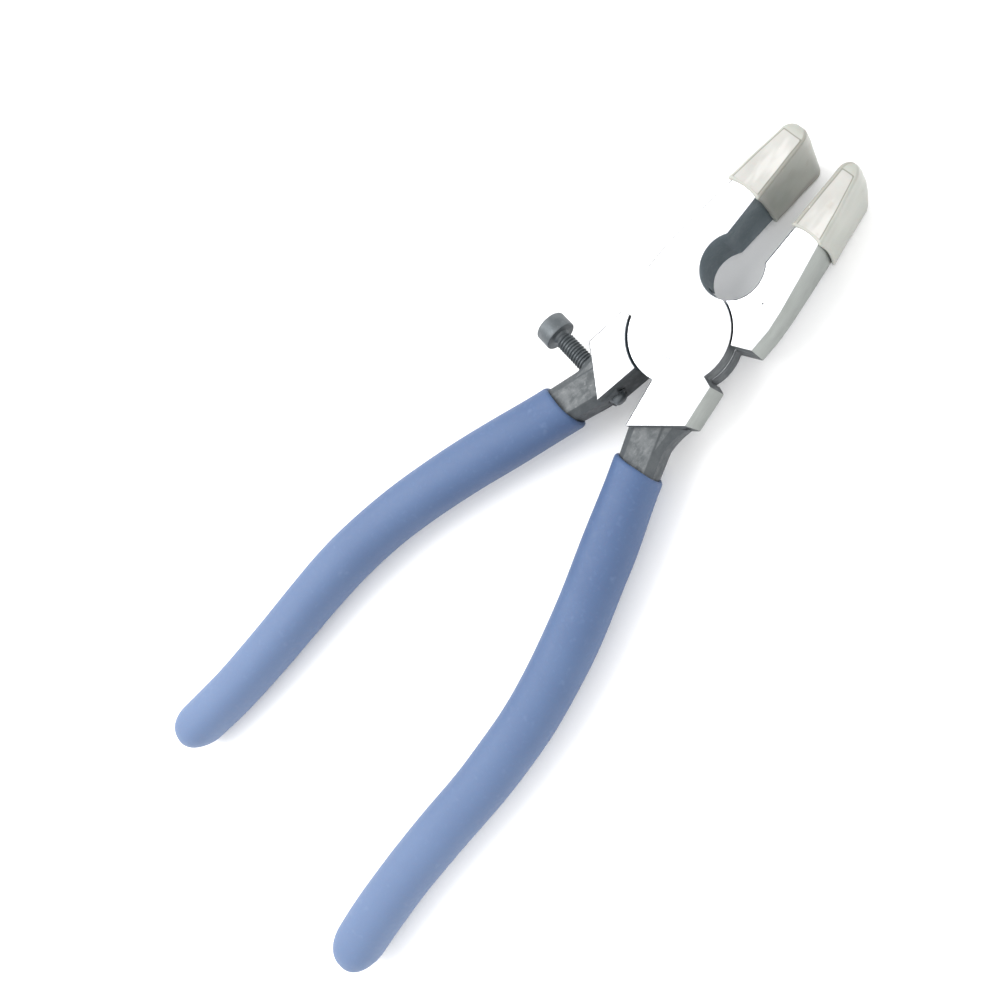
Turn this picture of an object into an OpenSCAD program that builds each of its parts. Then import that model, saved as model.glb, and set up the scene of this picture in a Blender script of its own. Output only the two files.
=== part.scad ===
// Running pliers for stained glass work: two lapped forgings on one flush rivet, with vinyl jaw
// caps, dipped vinyl grips and a stop screw that limits how far the handles close.
// Z = 0 is the ground underside of the joint, on the pivot axis. +X runs to the jaws.

/* [Joint] */
// Thickness of the joint across both lapped cheeks
joint_t = 12; // [11:0.5:14]
// Radius of the round cheek on each half
cheek_r = 10.3; // [10:0.1:10.8]
// Gap round a cheek, where the other half is cut to clear it
cheek_gap = 0.35; // [0.2:0.05:0.5]
// How far that cut sits off the pivot, towards the shoulder
pocket_shift = 0.1; // [0:0.05:0.15]
// Gap between the two cheeks where they lap
lap_gap = 0.1; // [0.05:0.05:0.2]
// Radius of the rivet's shank
rivet_r = 4; // [3:0.25:5]
// Radial clearance of the rivet in the half that turns on it
rivet_clear = 0.04; // [0.02:0.01:0.08]
// Radius of the rivet's countersunk head, ground flush
rivet_head_r = 5.2; // [5.1:0.1:6]
// Depth of the rivet's countersunk head
rivet_head_t = 1.5; // [1:0.1:2]

/* [Jaws] */
// Distance from the pivot to the steel tip of a jaw
jaw_x = 40; // [38:0.5:44]
// Height of a jaw's steel across its tip
jaw_tip_h = 19; // [16:0.2:24]
// Distance from the pivot at which a jaw starts to widen
flare_x = 11; // [10:0.5:14]
// Half of the gap between the jaws' gripping faces as the pliers lie
jaw_half_gap = 4.7; // [4.5:0.1:5.5]
// How far a gripping face bows across its height
grip_bow = 1.2; // [0.8:0.1:1.6]
// Radius of the round relief between the jaws, drilled through jaws and cheeks
relief_r = 6.2; // [6:0.1:6.8]
// Distance from the pivot to the centre of the round relief
relief_x = 15.5; // [15:0.25:16]

/* [Jaw caps] */
// Distance from the pivot to the rim of a cap
cap_x = 27.6; // [26:0.2:30]
// Wall thickness of a cap
cap_t = 0.75; // [0.6:0.05:0.9]
// How far a cap runs past the steel tip at mid height
cap_nose = 2.1; // [1.2:0.1:2.4]
// How far the cap's front bows across its height
cap_front_bow = 0.9; // [0.5:0.1:1.1]

/* [Handles] */
// Angle at which a handle leaves the joint
handle_out = 20.5; // [17:0.5:22]
// Angle of the straight middle stretch of a handle
handle_mid = 1.8; // [0:0.1:4]
// Angle of the flared end of a handle
handle_end = 9.2; // [6:0.1:12]
// Length of a handle along its centreline, to the end of its grip
handle_l = 146.5; // [140:0.5:155]
// Width of the steel shank where it leaves the joint
shank_w = 8.4; // [7.6:0.1:8.6]
// Thickness of the steel shank
shank_t = 8.8; // [8:0.1:9.4]
// Width of a grip
grip_w = 11.7; // [11.4:0.1:13]
// Thickness of a grip
grip_t = 12.6; // [12.2:0.1:14]
// Distance along the handle at which a grip starts
grip_start = 8; // [7:0.5:12]

/* [Stop screw] */
// Radius of the screw's thread over its crests (M4)
screw_r = 2; // [1.5:0.5:2]
// Length of the threaded shank
screw_l = 20; // [16:1:22]
// Radius of the cylindrical head
screw_head_r = 3.6; // [3:0.1:4]
// Height of the head
screw_head_h = 4; // [3:0.5:4.5]
// Thread pitch
screw_pitch = 0.7; // [0.5:0.1:0.8]
// Width across the flats of the hexagon socket
socket_af = 3; // [2.5:0.5:3]
// Depth of the hexagon socket
socket_depth = 2; // [1.5:0.1:2.2]
// Radial clearance of the screw's crests in its tapped hole
screw_clear = 0.05; // [0.02:0.01:0.08]
// Lean of the screw from square across the pliers
screw_lean = 4.3; // [0:0.1:6]

/* [Hidden] */
$fn = 96;

mid_z = joint_t / 2;
joint_h = joint_t / 2;
jaw_tip_half = jaw_tip_h / 2;
big = 120;

// Edges of a jaw and a shoulder beside the opening notch lie on these rays from the pivot.
jaw_base_ray = 66.5;
shoulder_ray = 108;
corner_r = 14.8;
shoulder_r = 12.7;
shoulder_corner = [-12.6, -13.4];
pocket_side = 210;

// The web between a shank and its shoulder.
neck_edge_t = 3;
neck_hollow_r = 14.1;
neck_hollow = [-17.7, -26.6, 0];

// A gripping face is part of a cylinder that lies along X.
grip_face_r = (jaw_tip_half * jaw_tip_half + grip_bow * grip_bow) / (2 * grip_bow);
jaw_root_y = 3.4;

// Outline of the jaw on its outer side, from the notch to the tip.
jaw_outer = [[10.5, 13.5], [14.5, 13], [21, 11.8], [cap_x, 10.5], [jaw_x, 7.9]];
jaw_tip_outer_y = 7.9;

// Centreline of a handle, which leaves the joint, runs almost straight and flares at its end.
handle_start = [-18, -7.45];
bend_in = [28.5, 97.8];
bend_out = [99, 146];
path_n = 54;
tang_from = -3;
tang_stop = 7;
tang_taper = 0.78;

// Where the screw's thread starts, under its head.
screw_seat = [-16.3, 21.6];

steel = "lightgray";
dark_steel = "dimgray";
blue = "cornflowerblue";
cap_white = "ivory";

function ray(r, a) = [r * cos(a), r * sin(a)];
function ease(t) = let (u = max(0, min(1, t))) u * u * (3 - 2 * u);
function stage_of(s, span) = ease((s - span[0]) / (span[1] - span[0]));
function heading(s) = handle_out + (handle_mid - handle_out) * stage_of(s, bend_in)
    + (handle_end - handle_mid) * stage_of(s, bend_out);

// Points of the handle's centreline from distance s0 to s1, each with its heading.
function handle_path(s0, s1, n) =
    let (ds = (s1 - s0) / n, first = handle_start + s0 * [-cos(handle_out), -sin(handle_out)])
    [for (i = 0, p = first; i <= n;
          p = p - ds * [cos(heading(s0 + (i + 0.5) * ds)), sin(heading(s0 + (i + 0.5) * ds))],
          i = i + 1) [p, heading(s0 + i * ds)]];

function power(c, e) = sign(c) * pow(abs(c), e);
function round_section(w, t, n = 24) =
    [for (k = [0 : n - 1]) let (a = 360 * k / n)
        [w / 2 * power(cos(a), 0.86), t / 2 * power(sin(a), 0.86)]];
function octagon_section(w, t, c = 1.6) =
    [[w / 2, c - t / 2], [w / 2, t / 2 - c], [w / 2 - c, t / 2], [c - w / 2, t / 2],
     [-w / 2, t / 2 - c], [-w / 2, c - t / 2], [c - w / 2, -t / 2], [w / 2 - c, -t / 2]];

// One closed solid swept along a path, with the section scaled at each ring.
module sweep(path, section, scales) {
    n = len(section);
    rings = len(path);
    points = [for (i = [0 : rings - 1], q = section)
        let (h = path[i][1], p = path[i][0], w = q[0] * scales[i])
            [p[0] + w * sin(h), p[1] - w * cos(h), q[1] * scales[i]]];
    sides = [for (i = [0 : rings - 2], k = [0 : n - 1], half = [0, 1])
        let (a = i * n + k, b = i * n + (k + 1) % n)
            half == 0 ? [a, b + n, b] : [a, a + n, b + n]];
    start_cap = [[for (k = [0 : n - 1]) k]];
    end_cap = [[for (k = [n - 1 : -1 : 0]) (rings - 1) * n + k]];
    polyhedron(points, concat(sides, start_cap, end_cap), convexity = 6);
}

function taper(i, n) = 1 - (1 - tang_taper) * ease(i / n);
function dome(i, n, ds, r) =
    let (left = (n - i) * ds) left >= r ? 1 : sqrt(max(0.012, 1 - pow(1 - left / r, 2)));

module tang() {
    path = handle_path(tang_from, handle_l - tang_stop, path_n);
    sweep(path, octagon_section(shank_w, shank_t), [for (i = [0 : path_n]) taper(i, path_n)]);
}

module jaw_plan(grow, x_end) {
    polygon(concat([ray(9, jaw_base_ray), ray(corner_r, jaw_base_ray)],
                   [for (p = jaw_outer) [min(p[0], x_end), p[1] + grow]],
                   [[x_end, jaw_tip_outer_y + grow], [x_end, jaw_root_y], [12, jaw_root_y],
                    [9, 2.2]]));
}

// Side view of the joint and jaws, which widen from flare_x to the tip.
module flare(grow, x_end) {
    rise = (jaw_tip_half - joint_h) / (jaw_x - flare_x);
    end_h = joint_h + rise * (x_end - flare_x) + grow;
    rotate([90, 0, 0]) linear_extrude(big, center = true)
        polygon([[0, joint_h + grow], [flare_x, joint_h + grow], [x_end, end_h],
                 [x_end, -end_h], [flare_x, -joint_h - grow], [0, -joint_h - grow]]);
}

module lengthwise(r, x, y) {
    translate([x, y, 0]) rotate([0, 90, 0]) cylinder(r = r, h = big, $fn = 240);
}

// Everything on the gap side of a gripping face: hollow on the upper half, bowed on the lower.
module gap_side(bowed, grow) {
    y = jaw_half_gap - grow;
    if (bowed) {
        difference() {
            translate([relief_x, y - 20 + grip_bow / 2, -big / 2]) cube([big, 20, big]);
            lengthwise(grip_face_r + grow, relief_x - 1, jaw_half_gap - grip_bow / 2 + grip_face_r);
        }
    } else {
        lengthwise(grip_face_r - grow, relief_x, jaw_half_gap + grip_bow / 2 - grip_face_r);
    }
}

module jaw(bowed) {
    difference() {
        intersection() {
            linear_extrude(big, center = true) jaw_plan(0, jaw_x);
            flare(0, jaw_x);
        }
        gap_side(bowed, 0);
    }
}

module shoulder() {
    linear_extrude(joint_t, center = true)
        polygon([ray(8, -shoulder_ray), ray(shoulder_r, -shoulder_ray), shoulder_corner,
                 [-20.4, -4], [-10.2, -2.1], [-7, -3]]);
}

// Sloped web that spreads the shank out to the shoulder's corner, with a hollow outer edge.
module neck() {
    difference() {
        hull() {
            linear_extrude(neck_edge_t, center = true)
                polygon([[-16.5, -10.5], shoulder_corner + [-0.4, 0.2], [-24.3, -14.1]]);
            linear_extrude(shank_t - 0.8, center = true)
                polygon([[-14, -11], [-16, -8.5], [-23, -11.6]]);
        }
        translate(neck_hollow) cylinder(r = neck_hollow_r, h = shank_t, center = true);
    }
}

module rivet(clear) {
    r = rivet_r + clear;
    head_r = rivet_head_r + clear;
    translate([0, 0, -joint_h]) cylinder(r = r, h = joint_t);
    for (side = [0, 180]) rotate([side, 0, 0]) translate([0, 0, joint_h - rivet_head_t])
        cylinder(r1 = r, r2 = head_r, h = rivet_head_t);
}

// One forging, with its jaw at +Y, its handle at -Y and its cheek in the top of the joint.
module forging(bowed, clear) {
    difference() {
        union() {
            difference() {
                union() {
                    jaw(bowed);
                    shoulder();
                    neck();
                    tang();
                }
                rotate(pocket_side) translate([pocket_shift, 0, -big])
                    cylinder(r = cheek_r + cheek_gap, h = big + lap_gap / 2);
            }
            translate([0, 0, lap_gap / 2]) cylinder(r = cheek_r, h = joint_h - lap_gap / 2);
        }
        rivet(clear);
        translate([relief_x, 0, -big / 2]) cylinder(r = relief_r, h = big);
    }
}

module cap(bowed) {
    nose_x = jaw_x + cap_nose;
    front_r = (pow(jaw_tip_half + cap_t, 2) + pow(cap_front_bow, 2)) / (2 * cap_front_bow);
    nose_r = (jaw_tip_outer_y - jaw_half_gap) / 2 + cap_t;
    nose_y = (jaw_tip_outer_y + jaw_half_gap) / 2;
    difference() {
        intersection() {
            union() {
                linear_extrude(big, center = true) jaw_plan(cap_t, nose_x - nose_r);
                translate([nose_x - nose_r, nose_y, -big / 2]) cylinder(r = nose_r, h = big);
            }
            flare(cap_t, nose_x);
            translate([nose_x - front_r, big / 2, 0]) rotate([90, 0, 0])
                cylinder(r = front_r, h = big, $fn = 240);
            translate([cap_x, 0, -big / 2]) cube([big, big, big]);
        }
        gap_side(bowed, cap_t);
        jaw(bowed);
    }
}

module grip() {
    ds = (handle_l - grip_start) / path_n;
    path = handle_path(grip_start, handle_l, path_n);
    difference() {
        sweep(path, round_section(grip_w, grip_t),
              [for (i = [0 : path_n]) dome(i, path_n, ds, grip_w / 2)]);
        tang();
    }
}

// Stop screw along -Y from its seat: plain head above, thread rings below.
module screw_at_seat() {
    root_r = screw_r - 0.6 * screw_pitch;
    turns = floor((screw_l - 1) / screw_pitch);
    thread = [for (i = [0 : turns - 1], k = [0, 1])
        k == 0 ? [screw_r, -1 - i * screw_pitch] : [root_r, -1 - (i + 0.5) * screw_pitch]];
    translate([screw_seat[0], screw_seat[1], 0]) rotate([0, 0, -screw_lean]) rotate([-90, 0, 0]) {
        difference() {
            cylinder(r = screw_head_r, h = screw_head_h);
            translate([0, 0, screw_head_h - socket_depth])
                cylinder(r = socket_af / sqrt(3), h = socket_depth + 1, $fn = 6);
        }
        rotate_extrude()
            polygon(concat([[0, 0.5], [screw_r, 0.5]], thread,
                           [[root_r, -screw_l], [0, -screw_l]]));
    }
}

module screw_hole() {
    translate([screw_seat[0], screw_seat[1], 0]) rotate([0, 0, -screw_lean]) rotate([90, 0, 0])
        cylinder(r = screw_r + screw_clear, h = screw_l + 4);
}

module to_lower() { translate([0, 0, mid_z]) rotate([180, 0, 0]) children(); }
module to_upper() { translate([0, 0, mid_z]) children(); }

module upper_half() { color(steel) to_upper() forging(false, rivet_clear); }
module lower_half() {
    color(dark_steel) difference() {
        to_lower() forging(true, 0);
        to_upper() screw_hole();
    }
}
module pivot_rivet() { color(steel) to_upper() rivet(0); }
module stop_screw() { color(dark_steel) to_upper() screw_at_seat(); }
module upper_jaw_cap() { color(cap_white) to_upper() cap(false); }
module lower_jaw_cap() { color(cap_white) to_lower() cap(true); }
module upper_half_grip() { color(blue) to_upper() grip(); }
module lower_half_grip() { color(blue) to_lower() grip(); }

upper_half();
lower_half();
pivot_rivet();
stop_screw();
upper_jaw_cap();
lower_jaw_cap();
upper_half_grip();
lower_half_grip();
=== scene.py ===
"""Running pliers: the visible pieces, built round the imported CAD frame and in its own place.
Lengths are in metres."""
import math

import bmesh
import bpy
from mathutils import Matrix, Vector, noise


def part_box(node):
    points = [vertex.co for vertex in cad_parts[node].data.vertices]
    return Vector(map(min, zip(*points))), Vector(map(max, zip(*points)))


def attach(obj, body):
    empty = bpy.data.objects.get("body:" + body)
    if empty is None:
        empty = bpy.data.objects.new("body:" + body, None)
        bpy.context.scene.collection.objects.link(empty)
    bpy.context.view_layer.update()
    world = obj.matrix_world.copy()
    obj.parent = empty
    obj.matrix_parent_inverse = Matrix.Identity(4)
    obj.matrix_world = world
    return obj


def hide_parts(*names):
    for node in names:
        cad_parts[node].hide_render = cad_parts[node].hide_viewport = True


MM = 0.001
NOISE_SEED = 7

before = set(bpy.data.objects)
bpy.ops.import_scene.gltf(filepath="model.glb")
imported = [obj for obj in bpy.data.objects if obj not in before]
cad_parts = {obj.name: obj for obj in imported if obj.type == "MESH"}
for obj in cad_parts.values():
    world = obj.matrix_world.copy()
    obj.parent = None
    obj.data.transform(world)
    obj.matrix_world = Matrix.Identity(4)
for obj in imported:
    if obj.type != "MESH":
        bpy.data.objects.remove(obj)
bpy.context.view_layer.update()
# Without this, noise_vector differs from run to run.
noise.seed_set(NOISE_SEED)

# ---------------------------------------------------------------- sizes, from the frame
NODE = {name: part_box(name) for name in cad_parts}
JOINT_T = NODE["pivot_rivet"][1].z - NODE["pivot_rivet"][0].z
MID_Z = (NODE["pivot_rivet"][0].z + NODE["pivot_rivet"][1].z) / 2
# The lower half is the upper one turned over about X, so its Y and its height have the sign -1.
HALVES = {"upper": 1, "lower": -1}

# ---------------------------------------------------------------- camera
CAMERA_AT = Vector((0.0049, -0.0582, 0.1834))
CAMERA_AIM = Vector((-0.0517, 0.0087, MID_Z))
CAMERA_UP = math.radians(42.5)
CAMERA_LENS = 32.4
SENSOR = 36.0
CLIP_START = 0.01


def make_camera():
    """The camera looks down from the -Y side, turned so that the jaws point up to the right."""
    data = bpy.data.cameras.new("camera")
    data.lens = CAMERA_LENS
    data.sensor_width = SENSOR
    data.clip_start = CLIP_START
    camera = bpy.data.objects.new("camera", data)
    bpy.context.scene.collection.objects.link(camera)
    back = (CAMERA_AT - CAMERA_AIM).normalized()
    up = Vector((math.cos(CAMERA_UP), math.sin(CAMERA_UP), 0))
    right = up.cross(back).normalized()
    turn = Matrix((right, back.cross(right), back)).transposed()
    camera.matrix_world = Matrix.Translation(CAMERA_AT) @ turn.to_4x4()
    bpy.context.scene.camera = camera


# ---------------------------------------------------------------- shader helper
class Shader:
    """One material with a Principled shader and short calls for the nodes that feed it."""

    def __init__(self, name, **sockets):
        self.material = bpy.data.materials.new(name)
        self.material.use_nodes = True
        self.tree = self.material.node_tree
        self.shader = self.tree.nodes["Principled BSDF"]
        for socket, value in sockets.items():
            self.shader.inputs[socket.replace("_", " ")].default_value = value
        self.place = self.add("ShaderNodeTexCoord").outputs["Object"]

    def add(self, kind, inputs=None, **settings):
        node = self.tree.nodes.new(kind)
        for key, value in settings.items():
            setattr(node, key, value)
        for key, value in (inputs or {}).items():
            if isinstance(value, bpy.types.NodeSocket):
                self.tree.links.new(value, node.inputs[key])
            else:
                node.inputs[key].default_value = value
        return node

    def feed(self, socket, value):
        self.tree.links.new(value, self.shader.inputs[socket])

    def scaled(self, scale, turn=(0, 0, 0)):
        inputs = {"Vector": self.place, "Scale": scale, "Rotation": turn}
        return self.add("ShaderNodeMapping", inputs).outputs["Vector"]

    def noise(self, scale, detail=3.0, rough=0.5, place=None):
        inputs = {"Vector": place or self.place, "Scale": scale, "Detail": detail, "Roughness": rough}
        return self.add("ShaderNodeTexNoise", inputs).outputs["Fac"]

    def spots(self, scale, jitter=1.0, place=None):
        inputs = {"Vector": place or self.place, "Scale": scale, "Randomness": jitter}
        return self.add("ShaderNodeTexVoronoi", inputs).outputs["Distance"]

    def ramp(self, value, low, high, to_low=0.0, to_high=1.0):
        inputs = {"Value": value, "From Min": low, "From Max": high, "To Min": to_low, "To Max": to_high}
        return self.add("ShaderNodeMapRange", inputs, interpolation_type="SMOOTHSTEP").outputs["Result"]

    def math(self, how, a, b=0.0):
        return self.add("ShaderNodeMath", {0: a, 1: b}, operation=how).outputs[0]

    def mix(self, share, a, b, how="MIX"):
        node = self.add("ShaderNodeMix", data_type="RGBA", blend_type=how)
        for index, value in ((0, share), (6, a), (7, b)):
            if isinstance(value, bpy.types.NodeSocket):
                self.tree.links.new(value, node.inputs[index])
            else:
                node.inputs[index].default_value = value if index == 0 else (*value, 1.0)
        return node.outputs[2]

    def axis(self, name):
        return self.add("ShaderNodeSeparateXYZ", {0: self.place}).outputs[name]

    def bump(self, height, strength, distance, under=None):
        inputs = {"Height": height, "Strength": strength, "Distance": distance}
        if under is not None:
            inputs["Normal"] = under
        return self.add("ShaderNodeBump", inputs).outputs["Normal"]


# ---------------------------------------------------------------- materials
def ground_steel():
    """Bright flat-ground steel: fine crossed grinding lines, a few pits and short scratches."""
    s = Shader("ground_steel", Metallic=1.0, Roughness=0.3)
    lines = s.noise(1.0, 2.0, 0.6, s.scaled((260, 9000, 400), (0, 0, 0.75)))
    cross = s.noise(1.0, 2.0, 0.6, s.scaled((300, 6000, 400), (0, 0, -0.35)))
    grind = s.math("ADD", s.math("MULTIPLY", lines, 0.65), s.math("MULTIPLY", cross, 0.35))
    cloud = s.noise(160, 3.0)
    pits = s.ramp(s.spots(330), 0.07, 0.13, 1.0, 0.0)
    rare = s.ramp(s.noise(120, 1.0), 0.58, 0.64)
    scratches = s.ramp(s.noise(1.0, 1.0, 0.5, s.scaled((150, 2600, 150), (0, 0, 0.4))), 0.74, 0.79)
    bare = s.math("MULTIPLY", scratches, s.ramp(s.noise(75, 1.0), 0.52, 0.6))
    marks = s.math("MAXIMUM", s.math("MULTIPLY", pits, rare), s.math("MULTIPLY", bare, 0.6))
    tone = s.mix(s.ramp(grind, 0.35, 0.65), (0.62, 0.63, 0.65), (0.75, 0.76, 0.78))
    tone = s.mix(s.math("MULTIPLY", s.ramp(cloud, 0.4, 0.7), 0.35), tone, (0.6, 0.61, 0.64))
    s.feed("Base Color", s.mix(marks, tone, (0.035, 0.037, 0.04)))
    s.feed("Roughness", s.ramp(grind, 0.3, 0.7, 0.26, 0.42))
    height = s.math("SUBTRACT", grind, marks)
    s.feed("Normal", s.bump(height, 0.35, 0.02 * MM))
    return s.material


def side_steel():
    """Belt-ground outer sides: duller, with lines along the edge."""
    s = Shader("side_steel", Metallic=1.0, Roughness=0.42)
    lines = s.noise(1.0, 3.0, 0.6, s.scaled((250, 250, 7000)))
    cloud = s.noise(220, 4.0)
    tone = s.mix(s.ramp(lines, 0.35, 0.65), (0.285, 0.305, 0.29), (0.375, 0.4, 0.38))
    tone = s.mix(s.math("MULTIPLY", s.ramp(cloud, 0.45, 0.7), 0.4), tone, (0.25, 0.27, 0.255))
    s.feed("Base Color", tone)
    s.feed("Roughness", s.ramp(lines, 0.3, 0.7, 0.36, 0.5))
    s.feed("Normal", s.bump(lines, 0.4, 0.03 * MM))
    return s.material


def dark_edge():
    """Edges of the ground faces, broken by hand: dull grey, with brighter nicks."""
    s = Shader("dark_edge", Metallic=0.3, Roughness=0.55)
    nicks = s.noise(700, 3.0, 0.6)
    tone = s.mix(s.ramp(nicks, 0.42, 0.72), (0.03, 0.032, 0.035), (0.2, 0.21, 0.21))
    s.feed("Base Color", tone)
    s.feed("Roughness", s.ramp(nicks, 0.3, 0.7, 0.42, 0.58))
    s.feed("Normal", s.bump(nicks, 0.5, 0.04 * MM))
    return s.material


def oxide_steel():
    """Dark forged scale on the inner faces."""
    s = Shader("oxide_steel", Metallic=0.3, Roughness=0.55)
    grain = s.noise(1400, 4.0, 0.6)
    cloud = s.noise(170, 4.0, 0.6)
    tone = s.mix(s.ramp(cloud, 0.35, 0.7), (0.13, 0.165, 0.187), (0.18, 0.215, 0.24))
    tone = s.mix(s.math("MULTIPLY", s.ramp(grain, 0.5, 0.75), 0.4), tone, (0.23, 0.255, 0.27))
    s.feed("Base Color", tone)
    s.feed("Roughness", s.ramp(grain, 0.3, 0.7, 0.5, 0.68))
    s.feed("Normal", s.bump(grain, 0.3, 0.05 * MM))
    return s.material


def shank_steel():
    """Forged steel of the shanks: mid grey scale, softly mottled, with a few bright rubs on the flats,
    and painted shade that makes the sides darker and plainer."""
    s = Shader("shank_steel", Metallic=0.15, Roughness=0.6, Specular_IOR_Level=0.35)
    grain = s.noise(1500, 4.0, 0.6)
    cloud = s.noise(420, 4.0, 0.6)
    streak = s.noise(1.0, 3.0, 0.6, s.scaled((500, 1500, 900), (0, 0, -0.3)))
    rubs = s.ramp(s.noise(620, 2.0), 0.66, 0.74)
    tone = s.mix(s.ramp(cloud, 0.32, 0.68), (0.072, 0.08, 0.085), (0.11, 0.118, 0.123))
    tone = s.mix(s.math("MULTIPLY", s.ramp(streak, 0.5, 0.75), 0.5), tone, (0.165, 0.172, 0.177))
    tone = s.mix(s.math("MULTIPLY", s.ramp(grain, 0.5, 0.7), 0.3), tone, (0.18, 0.19, 0.195))
    normal = s.add("ShaderNodeNewGeometry").outputs["Normal"]
    facing = s.add("ShaderNodeSeparateXYZ", {0: normal}).outputs["Z"]
    flat = s.ramp(s.math("ABSOLUTE", facing), 0.86, 0.97)
    # Painted shade: faces that do not face straight up or down, the sides, are mixed most of the way to a
    # dark grey.
    tone = s.mix(flat, s.mix(0.75, tone, (0.06, 0.068, 0.074)), tone)
    rubs = s.math("MULTIPLY", s.math("MULTIPLY", rubs, flat), 0.35)
    s.feed("Base Color", s.mix(rubs, tone, (0.3, 0.31, 0.315)))
    s.feed("Roughness", s.ramp(cloud, 0.35, 0.65, 0.68, 0.5))
    s.feed("Normal", s.bump(s.math("ADD", grain, cloud), 0.35, 0.06 * MM))
    return s.material


def black_oxide():
    """The stop screw's blackened steel, rubbed grey by handling."""
    s = Shader("black_oxide", Metallic=0.5, Roughness=0.45)
    grain = s.noise(1800, 3.0)
    cloud = s.noise(400, 3.0)
    tone = s.mix(s.ramp(cloud, 0.35, 0.7), (0.085, 0.097, 0.105), (0.125, 0.138, 0.147))
    tone = s.mix(s.math("MULTIPLY", s.ramp(grain, 0.55, 0.75), 0.35), tone, (0.2, 0.21, 0.215))
    s.feed("Base Color", tone)
    s.feed("Roughness", s.ramp(grain, 0.3, 0.7, 0.4, 0.55))
    s.feed("Normal", s.bump(grain, 0.25, 0.02 * MM))
    return s.material


def blue_vinyl():
    """Dipped vinyl: matte, faintly mottled, with painted light that makes it paler towards the ends, and
    very soft ripples.
    """
    s = Shader(
        "blue_vinyl", Roughness=0.58, Specular_IOR_Level=0.4,
        Subsurface_Weight=0.05, Subsurface_Scale=0.001,
    )
    cloud = s.noise(70, 3.0)
    fine = s.noise(900, 3.0)
    pebble = s.noise(260, 2.0)
    tone = s.mix(s.ramp(cloud, 0.3, 0.7), (0.05, 0.089, 0.187), (0.059, 0.102, 0.204))
    # Painted light: the grips grow paler towards their far ends, along -X.
    pale = s.ramp(s.axis("X"), -0.165, -0.02, 0.75, 0.0)
    tone = s.mix(pale, tone, (0.125, 0.181, 0.305))
    rubs = s.math("MULTIPLY", s.ramp(s.noise(330, 2.0), 0.64, 0.78), 0.12)
    tone = s.mix(rubs, tone, (0.2, 0.27, 0.4))
    dust = s.math("MULTIPLY", s.ramp(fine, 0.5, 0.8), 0.15)
    s.feed("Base Color", s.mix(dust, tone, (0.15, 0.21, 0.34)))
    s.feed("Roughness", s.ramp(fine, 0.3, 0.7, 0.52, 0.64))
    s.feed("Normal", s.bump(fine, 0.1, 0.05 * MM, s.bump(pebble, 0.12, 0.2 * MM)))
    return s.material


def clear_vinyl():
    """Cloudy cap vinyl: pale where it lies on bright steel, grey over dark steel and in its own
    thickness, with a line round the steel, painted highlights along its folds, paler rims, and small
    bubbles. The mesh carries three marks: how far a point lies inside the steel's outline, how much
    paler its edges are made, and its painted shade."""
    s = Shader(
        "clear_vinyl", Roughness=0.42, Specular_IOR_Level=0.35,
        Subsurface_Weight=0.1, Subsurface_Scale=0.0008,
    )
    marks = s.add("ShaderNodeAttribute", attribute_name="marks").outputs["Vector"]
    inset, paler_edge, shade = s.add("ShaderNodeSeparateXYZ", {0: marks}).outputs
    cloud = s.noise(190, 3.0, 0.5)
    streak = s.noise(1.0, 2.0, 0.5, s.scaled((110, 330, 200), (0, 0, 0.1)))
    fine = s.noise(1200, 3.0)
    dots = s.ramp(s.spots(1150), 0.10, 0.2, 1.0, 0.0)
    bubbles = s.math("MULTIPLY", dots, s.ramp(s.noise(420, 1.0), 0.64, 0.72))
    wall = s.mix(s.ramp(cloud, 0.3, 0.7), (0.315, 0.323, 0.293), (0.375, 0.383, 0.352))
    # Painted shade: the wall is darkened where the shade mark is set.
    wall = s.mix(s.math("MULTIPLY", shade, 0.75), wall, (0.2, 0.197, 0.17))
    # The wall is made a little paler at the profile's corners, at the lip and at the nose.
    wall = s.mix(s.math("MULTIPLY", paler_edge, 0.4), wall, (0.36, 0.36, 0.33))
    over_steel = s.mix(s.ramp(cloud, 0.3, 0.7), (0.345, 0.34, 0.32), (0.39, 0.385, 0.365))
    # Painted highlight: pale streaks along the folds, over the steel.
    painted_highlight = s.math("MULTIPLY", s.ramp(streak, 0.52, 0.68), 0.55)
    over_steel = s.mix(painted_highlight, over_steel, (0.5, 0.495, 0.475))
    tone = s.mix(s.ramp(inset, 0.0, 0.18), wall, over_steel)
    line = s.math("SUBTRACT", 1.0, s.ramp(s.math("ABSOLUTE", inset), 0.02, 0.2))
    tone = s.mix(s.math("MULTIPLY", line, 0.75), tone, (0.13, 0.127, 0.105))
    stain = s.math("MULTIPLY", s.ramp(s.noise(300, 2.0), 0.68, 0.78), 0.3)
    tone = s.mix(stain, tone, (0.27, 0.235, 0.19))
    s.feed("Base Color", s.mix(s.math("MULTIPLY", bubbles, 0.6), tone, (0.6, 0.6, 0.57)))
    s.feed("Roughness", s.ramp(cloud, 0.3, 0.7, 0.36, 0.5))
    relief = s.math("ADD", cloud, s.math("MULTIPLY", streak, 0.6))
    s.feed("Normal", s.bump(fine, 0.08, 0.05 * MM, s.bump(relief, 0.3, 0.3 * MM)))
    return s.material


def floor_paper():
    """Plain matte white paper with a trace of fibre."""
    s = Shader("floor_paper", Roughness=0.8)
    fibre = s.noise(900, 3.0)
    s.feed("Base Color", s.mix(fibre, (0.93, 0.93, 0.93), (0.95, 0.95, 0.95)))
    return s.material


# ---------------------------------------------------------------- mesh helpers
def new_piece(name, bm, materials):
    """An object made from a bmesh, which is used up."""
    mesh = bpy.data.meshes.new(name)
    bm.to_mesh(mesh)
    bm.free()
    piece = bpy.data.objects.new(name, mesh)
    bpy.context.scene.collection.objects.link(piece)
    for material in materials:
        mesh.materials.append(material)
    return piece


def settle(piece, body, node):
    """Which body carries the piece, and the CAD node that it stands for."""
    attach(piece, body)
    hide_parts(node)


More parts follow.
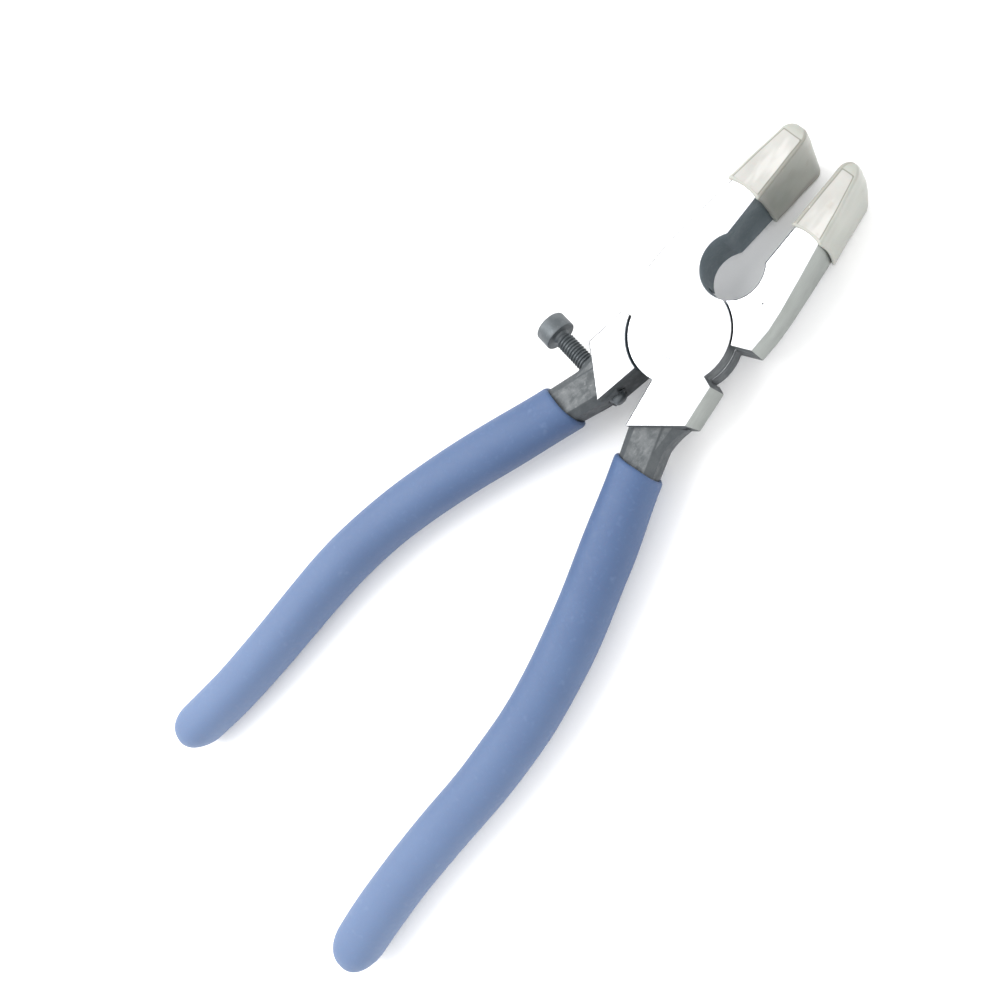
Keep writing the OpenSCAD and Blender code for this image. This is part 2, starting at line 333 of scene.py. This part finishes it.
def ease(t):
    """0 to 1 with a level start and end."""
    t = min(1.0, max(0.0, t))
    return t * t * (3 - 2 * t)


def place_local(sign, x, y, z):
    """A point given for the upper half, with z from the joint's middle, on either half."""
    return Vector((x, sign * y, MID_Z + sign * z))


def loft(rings, strip_ends=False):
    """A closed skin through rings of equal length; strip_ends closes each end across its two halves."""
    bm = bmesh.new()
    rows = [[bm.verts.new(p) for p in ring] for ring in rings]
    for row, after in zip(rows, rows[1:]):
        for k in range(len(row)):
            j = (k + 1) % len(row)
            bm.faces.new((row[k], row[j], after[j], after[k]))
    for row in (rows[0], rows[-1]):
        if not strip_ends:
            bm.faces.new(row)
            continue
        for k in range(len(row) // 2 - 1):
            bm.faces.new((row[k], row[k + 1], row[-k - 2], row[-k - 1]))
    bmesh.ops.recalc_face_normals(bm, faces=bm.faces)
    for face in bm.faces:
        face.smooth = True
    return bm


# ---------------------------------------------------------------- forgings
# The ground shoulder ends at SHOULDER_X on top and at NECK_X between its faces.
SHOULDER_X = -20.6 * MM
NECK_X = -12.8 * MM
JAW_BASE_X = 9 * MM
SHOULDER_HALF_T = 5.6 * MM
GROUND_TOP, GROUND_SIDE, OXIDE, SHANK, DARK_EDGE = range(5)
EDGE_BEVEL = 0.26 * MM
SHORT_EDGE = 0.05 * MM
DISC_EDGE_R = 11.6 * MM
SHARP = math.radians(32)
LEVEL = 0.8
CHEEK_X = 4 * MM
JAW_SIDE_Y, SHOULDER_SIDE_Y = 7 * MM, 11 * MM
SIDEWAYS = 0.6
FLAT_ENOUGH = math.radians(0.4)
SHADING_WEIGHT = 90


def zone(sign, centre, normal):
    """Which finish a face of a forging has."""
    x, y, z = centre.x, sign * centre.y, sign * (centre.z - MID_Z)
    ny = sign * normal.y
    if x < SHOULDER_X or (x < NECK_X and abs(z) < SHOULDER_HALF_T):
        return SHANK
    if abs(normal.z) > LEVEL:
        return GROUND_TOP
    jaw_side = x > CHEEK_X and y > JAW_SIDE_Y and ny > SIDEWAYS
    shoulder_side = x < -CHEEK_X and y < -SHOULDER_SIDE_Y and ny < -SIDEWAYS
    if jaw_side or shoulder_side:
        return GROUND_SIDE
    return SHANK if -CHEEK_X < x < JAW_BASE_X else OXIDE


def break_edges(bm):
    """Bevel every sharp edge; away from the disc, those of the bright ground faces that face +Y are
    coloured dark grey.
    """
    sharp = [e for e in bm.edges if len(e.link_faces) == 2 and e.calc_face_angle(0) > SHARP]
    bevelled = set(bmesh.ops.bevel(
        bm, geom=sharp, offset=EDGE_BEVEL, segments=2, profile=0.5, affect="EDGES", material=-1,
    )["faces"])
    tops = {v for f in bm.faces if f.material_index == GROUND_TOP and f not in bevelled for v in f.verts}
    for face in bevelled:
        centre = face.calc_center_median()
        at_top = any(v in tops for v in face.verts)
        at_disc = math.hypot(centre.x, centre.y) < DISC_EDGE_R
        if at_top and at_disc:
            face.material_index = GROUND_TOP
        # Bevels that face +Y beside the bright ground faces, away from the disc, are coloured dark grey.
        elif face.normal.y > 0.2 and (at_top or face.material_index == GROUND_TOP) and not at_disc:
            face.material_index = DARK_EDGE


def make_forging(half, materials):
    """The CAD forging's own shape, with its edges broken and a finish for each kind of face."""
    sign = HALVES[half]
    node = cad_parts[half + "_half"]
    bm = bmesh.new()
    bm.from_mesh(node.data)
    bmesh.ops.remove_doubles(bm, verts=bm.verts, dist=SHORT_EDGE)
    bmesh.ops.dissolve_limit(bm, angle_limit=FLAT_ENOUGH, verts=bm.verts, edges=bm.edges)
    bm.normal_update()
    for face in bm.faces:
        face.material_index = zone(sign, face.calc_center_median(), face.normal)
    break_edges(bm)
    for face in bm.faces:
        face.smooth = True
    piece = new_piece(half + "_forging", bm, materials)
    piece.modifiers.new("shading", "WEIGHTED_NORMAL").weight = SHADING_WEIGHT
    settle(piece, half + "_body", half + "_half")


# ---------------------------------------------------------------- jaw caps
FLARE_X = 11 * MM
JAW_X = 40 * MM
JAW_HALF_GAP = 4.7 * MM
GRIP_BOW = 1.2 * MM
CAP_T = 0.75 * MM
CAP_X = NODE["upper_jaw_cap"][0].x
NOSE_X = NODE["upper_jaw_cap"][1].x
JAW_TIP_HALF = 9.5 * MM
JAW_OUTER = ((CAP_X, 10.5 * MM), (JAW_X, 7.9 * MM))
FACE_R = (JAW_TIP_HALF**2 + GRIP_BOW**2) / (2 * GRIP_BOW)
FRONT_BOW = 0.9 * MM
RIM_BOW = 0.55 * MM
RIM_SLANT = 0.05
NOSE_ROUND = (2.1 * MM, 1.7 * MM, 1.05 * MM)
SIDE_N, CORNER_N, TOP_N = 26, 8, 12
CAP_STEPS = 34
SHADE_FROM, SHADE_FADE = 7.8 * MM, 0.5 * MM
CAP_CLEAR = 0.03 * MM
CAP_SKIN = CAP_T - 0.08 * MM
SKIN_WAVE, WAVE_FINE = 0.13 * MM, 260
LIP_X, LIP_STEPS = CAP_X + 0.35 * MM, 8
BEAD_H, BEAD_L = 0.06 * MM, 0.7 * MM
RIM_PALE_L = 0.5 * MM
NOSE_STEPS = 8
RIM_REACH, NOSE_REACH = 5 * MM, 6 * MM
OFF_STEEL = -1.0


def lerp_clamped(x, a, b):
    t = (x - a[0]) / (b[0] - a[0])
    return a[1] + (b[1] - a[1]) * min(1.15, t)


def jaw_height(x):
    return JOINT_T / 2 + (x - FLARE_X) * (JAW_TIP_HALF - JOINT_T / 2) / (JAW_X - FLARE_X)


def gripping_y(sign, z):
    """The hollow face of the upper jaw or the bowed face of the lower one, at height z."""
    drop = FACE_R - math.sqrt(FACE_R**2 - z**2)
    return JAW_HALF_GAP + sign * (GRIP_BOW / 2 - drop)


def half_profile(width, height, corner):
    """Points (u, z, v) from bottom middle to top middle of a rounded rectangle, u from 0 out to 1."""
    points = []
    flat = max(0.0, width - corner)
    for k in range(TOP_N):
        points.append((flat * (k + 0.5) / TOP_N, -height))
    for k in range(CORNER_N):
        a = math.pi / 2 * k / CORNER_N
        points.append((flat + corner * math.sin(a), -height + corner * (1 - math.cos(a))))
    rise = height - corner
    for k in range(SIDE_N + 1):
        points.append((width, -rise + 2 * rise * k / SIDE_N))
    mirrored = [(u, -z) for u, z in reversed(points[: TOP_N + CORNER_N])]
    return points + mirrored


def cap_ring(sign, x, grow, inset_y=0.0, inset_z=0.0, corner=0.7 * MM, narrow=1.0, wave=0.0):
    """One closed ring round a jaw at distance x, and each point's marks for the vinyl: its distance
    inside the steel's outline in mm, as seen from above, how much paler it is made at the
    profile's corners, and its painted shade."""
    height = jaw_height(x) + grow - inset_z
    outer = lerp_clamped(x, *JAW_OUTER) + grow - inset_y
    at_mid = gripping_y(sign, 0) - grow + inset_y
    full_width = (outer - at_mid) / 2
    width = full_width * narrow
    corner = min(corner, width * 0.9)
    near_rim = 1 - ease((x - CAP_X) / RIM_REACH)
    near_nose = ease((x - CAP_X - NOSE_REACH) / (NOSE_X - CAP_X - NOSE_REACH))
    ring, marks = [], []
    profile = half_profile(width, height, corner)
    for side, points in ((-1, profile), (1, list(reversed(profile)))):
        for u, z in points:
            across = u / full_width
            up = z / height
            face_y = gripping_y(sign, z) - gripping_y(sign, 0)
            middle = (outer + at_mid) / 2
            y = middle + side * u + face_y * (1 - side * across) / 2
            px = x + RIM_BOW * (1 - (across * up) ** 2) * near_rim - RIM_SLANT * sign * z * near_rim
            px -= FRONT_BOW * up**2 * near_nose
            p = Vector((px, y, z))
            if wave:
                p += wave * noise.noise_vector(p * WAVE_FINE + Vector((sign * 9, 3, 5)))
            ring.append(place_local(sign, p.x, p.y, p.z))
            to_face = y - at_mid - face_y - grow
            paler_edge = abs(across * up) ** 5
            # Painted shade: a dark band on the gripping face's wall, beyond a fixed height from the middle.
            shade = ease((abs(z) - SHADE_FROM) / SHADE_FADE) if to_face < 0 else 0.0
            marks.append((min(outer - grow - y, to_face, JAW_X - x) / MM, paler_edge, shade))
    return ring, marks


def add_paleness(marks, more):
    """The same marks, made this much paler at the edges."""
    return [(inset, min(1.0, paler_edge + more), shade) for inset, paler_edge, shade in marks]


def make_cap(half, material):
    """The cap's skin: its lining from the jaw's front back to the lip, then its outside to the nose."""
    sign = HALVES[half]
    rows = []
    for narrow in (0.3, 0.65, 1.0):
        rows.append(cap_ring(sign, JAW_X + CAP_CLEAR, CAP_CLEAR, narrow=narrow, corner=0.3 * MM))
    for x in (38, 35, 32, 30):
        rows.append(cap_ring(sign, x * MM, CAP_CLEAR, corner=0.35 * MM))
    for k in range(LIP_STEPS + 1):
        a = math.pi * k / LIP_STEPS
        grow = CAP_CLEAR + (CAP_T + 0.02 * MM - CAP_CLEAR) * (1 - math.cos(a)) / 2
        ring, _ = cap_ring(sign, LIP_X - CAP_T / 2 * math.sin(a), grow)
        rows.append((ring, [(OFF_STEEL, 0.9, 0.0)] * len(ring)))
    start, end = LIP_X + 0.25 * MM, NOSE_X - NOSE_ROUND[0]
    for k in range(CAP_STEPS + 1):
        x = start + (end - start) * k / CAP_STEPS
        bead = BEAD_H * math.exp(-(((x - LIP_X) / BEAD_L) ** 2))
        ring, marks = cap_ring(sign, x, CAP_SKIN + bead, wave=SKIN_WAVE)
        rows.append((ring, add_paleness(marks, math.exp(-(((x - LIP_X) / RIM_PALE_L) ** 2)))))
    for k in range(1, NOSE_STEPS + 1):
        a = math.pi / 2 * k / NOSE_STEPS
        x = end + NOSE_ROUND[0] * math.sin(a)
        inset_y, inset_z = (r * (1 - math.cos(a)) for r in NOSE_ROUND[1:])
        ring, marks = cap_ring(sign, x, CAP_SKIN, inset_y, inset_z, wave=SKIN_WAVE)
        rows.append((ring, add_paleness(marks, 0.5 * math.sin(2 * a))))
    for narrow in (0.8, 0.55, 0.3, 0.1):
        ring, _ = cap_ring(sign, NOSE_X, CAP_SKIN, *NOSE_ROUND[1:], narrow=narrow, wave=SKIN_WAVE)
        rows.append((ring, [(OFF_STEEL, 0.2, 0.0)] * len(ring)))
    piece = new_piece(half + "_cap_skin", loft([ring for ring, _ in rows], strip_ends=True), [material])
    layer = piece.data.attributes.new("marks", "FLOAT_VECTOR", "POINT")
    layer.data.foreach_set("vector", [value for _, marks in rows for point in marks for value in point])
    settle(piece, half + "_body", half + "_jaw_cap")


# ---------------------------------------------------------------- stop screw
THREAD_R = 2.0 * MM
THREAD_L = 20 * MM
PITCH = 0.7 * MM
THREAD_DEPTH = 0.43 * MM
HEAD_R, HEAD_H = 3.6 * MM, 4 * MM
SOCKET_AF, SOCKET_DEPTH = 3 * MM, 2 * MM
SCREW_SEAT = Vector((-16.3 * MM, 21.6 * MM, MID_Z))
SCREW_LEAN = math.radians(4.3)
SCREW_SIDES = 60
ROWS_A_PITCH = 10
THREAD_START, THREAD_STOP = -0.55 * MM, -THREAD_L + 0.9 * MM
CREST_SHARE, FLANK_SHARE = 0.14, 0.66
POINT_R = 0.1 * MM


def screw_point(radius, turn, along):
    """A point round the screw's axis, with distance along it measured from the seat to the head."""
    axis = Vector((math.sin(SCREW_LEAN), math.cos(SCREW_LEAN), 0))
    side = Vector((math.cos(SCREW_LEAN), -math.sin(SCREW_LEAN), 0))
    return SCREW_SEAT + axis * along + radius * (side * math.cos(turn) + Vector((0, 0, 1)) * math.sin(turn))


def hexagon(turn):
    """Distance to a hexagon of unit inner radius in this direction."""
    step = math.pi / 3
    return 1 / math.cos((turn % step) - step / 2)


def socket_rings(turns):
    """Rings of the hexagon socket, from the middle of its floor out to its chamfered mouth."""
    floor_at = HEAD_H - SOCKET_DEPTH
    rings = [[screw_point(POINT_R, t, floor_at - 0.5 * MM) for t in turns]]
    walls = (
        (0.0, floor_at),
        (0.0, floor_at + 0.06 * MM),
        (0.0, HEAD_H - 0.3 * MM),
        (0.02 * MM, HEAD_H - 0.2 * MM),
    )
    for grow, along in walls:
        rings.append([screw_point((SOCKET_AF / 2 + grow) * hexagon(t), t, along) for t in turns])
    return rings


def round_rings(turns, outline):
    """Plain round rings through (radius, distance) points given in mm."""
    return [[screw_point(r * MM, t, a * MM) for t in turns] for r, a in outline]


def head_outline():
    """The head from the socket's mouth over its rounded rim and down to the shank, in mm."""
    r, h = HEAD_R / MM, HEAD_H / MM
    top = [(1.95, h), (2.1, h), (r - 0.5, h), (r - 0.38, h - 0.02), (r - 0.2, h - 0.15)]
    side = [(r - 0.06, h - 0.32), (r, h - 0.5), (r, 3.3), (r, 2.2), (r, 1.0), (r, 0.25)]
    under = [(r - 0.03, 0.1), (r - 0.12, 0.02), (r - 0.25, 0.0), (2.2, 0.0)]
    neck = [(2.02, -0.04), (1.92, -0.2), (1.62, -0.5)]
    return top + side + under + neck


def thread_rings(turns):
    """A true helix, which runs out to the root's radius at both ends."""
    rows = round((THREAD_START - THREAD_STOP) / PITCH * ROWS_A_PITCH)
    rings = []
    for row in range(rows):
        along = THREAD_START - PITCH * row / ROWS_A_PITCH
        full = min(ease(row / ROWS_A_PITCH), ease((rows - row) / ROWS_A_PITCH))
        ring = []
        for t in turns:
            phase = (along / PITCH + t / (2 * math.pi)) % 1.0
            flank = min(1.0, max(0.0, (abs(phase - 0.5) * 2 - CREST_SHARE) / FLANK_SHARE))
            to_root = (ease(flank) + flank) / 2
            depth = THREAD_DEPTH * (1 - full * (1 - to_root))
            ring.append(screw_point(THREAD_R - depth, t, along))
        rings.append(ring)
    return rings


def make_screw(material):
    """The stop screw as one closed skin, from the socket's floor to the tip."""
    turns = [2 * math.pi * k / SCREW_SIDES for k in range(SCREW_SIDES)]
    tip = [(1.56, -19.2), (1.5, -19.5), (1.3, -19.85), (1.1, -20.0), (POINT_R / MM, -20.0)]
    rings = socket_rings(turns) + round_rings(turns, head_outline())
    rings += thread_rings(turns) + round_rings(turns, tip)
    piece = new_piece("stop_screw_body", loft(rings), [material])
    piece.data.set_sharp_from_angle(angle=math.radians(38))
    settle(piece, "screw_body", "stop_screw")


# ---------------------------------------------------------------- grips
HANDLE_START = (-18 * MM, -7.45 * MM)
HANDLE_OUT, HANDLE_MID, HANDLE_END = 20.5, 1.8, 9.2
BEND_IN, BEND_OUT = (28.5 * MM, 97.8 * MM), (99 * MM, 146 * MM)
HANDLE_L = 146.5 * MM
# The visible rims start a little apart, as dipping leaves them.
GRIP_START = {"upper": 8 * MM, "lower": 9 * MM}
RIM_TAPER, RIM_TAPER_L = 0.07, 22 * MM
RIM_TILT = 1.3 * MM
GRIP_W, GRIP_T = 11.7 * MM, 12.6 * MM
GRIP_SIDES = 48
SQUARENESS = 0.86
GRIP_WALL, RIM_ROLL, RIM_STEPS = 1.2 * MM, 0.9 * MM, 8
LENGTH_STEPS = 120
DOME_L, DOME_STEPS, DOME_WHOLE = 8 * MM, 24, 24.4
NIB_L = 0.7 * MM
RIPPLE, RIPPLE_FINE = 0.12 * MM, 75


def heading(s):
    """The handle's direction at distance s from its start, measured from -X towards -Y."""
    into = ease((s - BEND_IN[0]) / (BEND_IN[1] - BEND_IN[0]))
    out = ease((s - BEND_OUT[0]) / (BEND_OUT[1] - BEND_OUT[0]))
    return math.radians(HANDLE_OUT + (HANDLE_MID - HANDLE_OUT) * into + (HANDLE_END - HANDLE_MID) * out)


def handle_point(s, step=0.25 * MM):
    """Point and heading of the handle's centreline at distance s from its start."""
    x, y, along = HANDLE_START[0], HANDLE_START[1], 0.0
    while along < s:
        ds = min(step, s - along)
        h = heading(along + ds / 2)
        x, y, along = x - ds * math.cos(h), y - ds * math.sin(h), along + ds
    return x, y, heading(s)


def squarer(c):
    """A sine or cosine pushed outwards, which makes a round section a little square."""
    return math.copysign(abs(c) ** SQUARENESS, c)


def grip_ring(sign, start, s, scale, shrink=0.0):
    """One ring of a grip; near its rim the vinyl is drawn thinner, and starts later on the outer side."""
    x, y, h = handle_point(s)
    near_rim = 1 - ease((s - start) / RIM_TAPER_L)
    w = GRIP_W * (1 - RIM_TAPER * near_rim) - 2 * shrink
    t = GRIP_T * (1 - RIM_TAPER / 2 * near_rim) - 2 * shrink
    ring = []
    for k in range(GRIP_SIDES):
        a = 2 * math.pi * k / GRIP_SIDES
        across = w / 2 * scale * squarer(math.cos(a))
        up = t / 2 * scale * squarer(math.sin(a))
        later = RIM_TILT * near_rim * math.cos(a)
        px = x + across * math.sin(h) - later * math.cos(h)
        py = y - across * math.cos(h) - later * math.sin(h)
        ring.append(place_local(sign, px, py, up))
    return ring


def make_grip(half, material):
    """The grip's skin: its lining out to a rolled rim, the length of the handle, and a dome with the
    small nib that dipping leaves."""
    sign = HALVES[half]
    start = GRIP_START[half]
    rings = [grip_ring(sign, start, start + s, 1.0, GRIP_WALL) for s in (5 * MM, RIM_ROLL)]
    for k in range(1, RIM_STEPS):
        a = math.pi * k / RIM_STEPS
        shrink = GRIP_WALL * (1 + math.cos(a)) / 2
        rings.append(grip_ring(sign, start, start + RIM_ROLL * (1 - math.sin(a)), 1.0, shrink))
    dome_end = HANDLE_L - NIB_L
    straight = dome_end - DOME_L - start - RIM_ROLL
    for i in range(LENGTH_STEPS + 1):
        rings.append(grip_ring(sign, start, start + RIM_ROLL + straight * i / LENGTH_STEPS, 1.0))
    for i in range(1, DOME_STEPS + 1):
        a = math.pi / 2 * i / DOME_WHOLE
        rings.append(grip_ring(sign, start, dome_end - DOME_L * (1 - math.sin(a)), squarer(math.cos(a))))
    for out, scale in ((0.45, 0.075), (0.8, 0.05), (1.0, 0.015)):
        rings.append(grip_ring(sign, start, dome_end + NIB_L * out, scale))
    piece = new_piece(half + "_grip_skin", loft(rings), [material])
    for v in piece.data.vertices:
        v.co += v.normal * RIPPLE * noise.noise(v.co * RIPPLE_FINE + Vector((sign * 4, 0, 0)))
    settle(piece, half + "_body", half + "_half_grip")


# ---------------------------------------------------------------- stage
FLOOR_SIZE = 1.6
FLOOR_GAP = 0.02 * MM
DOME_REST = 10 * MM
SOFTBOX_AT, SOFTBOX_AIM = Vector((-0.24, 0.42, 0.62)), Vector((-0.06, 0, 0))
SOFTBOX_SIZE, SOFTBOX_W = 0.7, 5.6
SKY_STRENGTH = 1.4


def make_floor():
    """The pliers lie on the lower corners of the caps and the undersides of the grip ends."""
    front = Vector((NODE["upper_jaw_cap"][1].x, 0, NODE["upper_jaw_cap"][0].z))
    back = Vector((NODE["upper_half_grip"][0].x + DOME_REST, 0, NODE["upper_half_grip"][0].z))
    slope = math.atan2(front.z - back.z, front.x - back.x)
    bm = bmesh.new()
    bmesh.ops.create_grid(bm, x_segments=2, y_segments=2, size=FLOOR_SIZE)
    floor = new_piece("floor", bm, [floor_paper()])
    floor.matrix_world = (
        Matrix.Translation(front - Vector((0, 0, FLOOR_GAP))) @ Matrix.Rotation(-slope, 4, "Y")
    )


def make_lights():
    """One large soft disk high on the +Y side, and an even white sky."""
    data = bpy.data.lights.new("softbox", "AREA")
    data.shape = "DISK"
    data.size = SOFTBOX_SIZE
    data.energy = SOFTBOX_W
    light = bpy.data.objects.new("softbox", data)
    turn = (SOFTBOX_AIM - SOFTBOX_AT).to_track_quat("-Z", "Y").to_matrix().to_4x4()
    light.matrix_world = Matrix.Translation(SOFTBOX_AT) @ turn
    bpy.context.scene.collection.objects.link(light)
    world = bpy.data.worlds.new("studio")
    world.use_nodes = True
    sky = world.node_tree.nodes["Background"]
    sky.inputs["Color"].default_value = (1, 1, 1, 1)
    sky.inputs["Strength"].default_value = SKY_STRENGTH
    bpy.context.scene.world = world
    bpy.context.scene.view_settings.view_transform = "Standard"


make_camera()
steels = [ground_steel(), side_steel(), oxide_steel(), shank_steel(), dark_edge()]
vinyl = blue_vinyl()
cap_vinyl = clear_vinyl()
for half in HALVES:
    make_forging(half, steels)
    make_grip(half, vinyl)
    make_cap(half, cap_vinyl)
make_screw(black_oxide())
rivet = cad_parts["pivot_rivet"]
rivet.data.materials.clear()
rivet.data.materials.append(steels[GROUND_TOP])
make_floor()
make_lights()
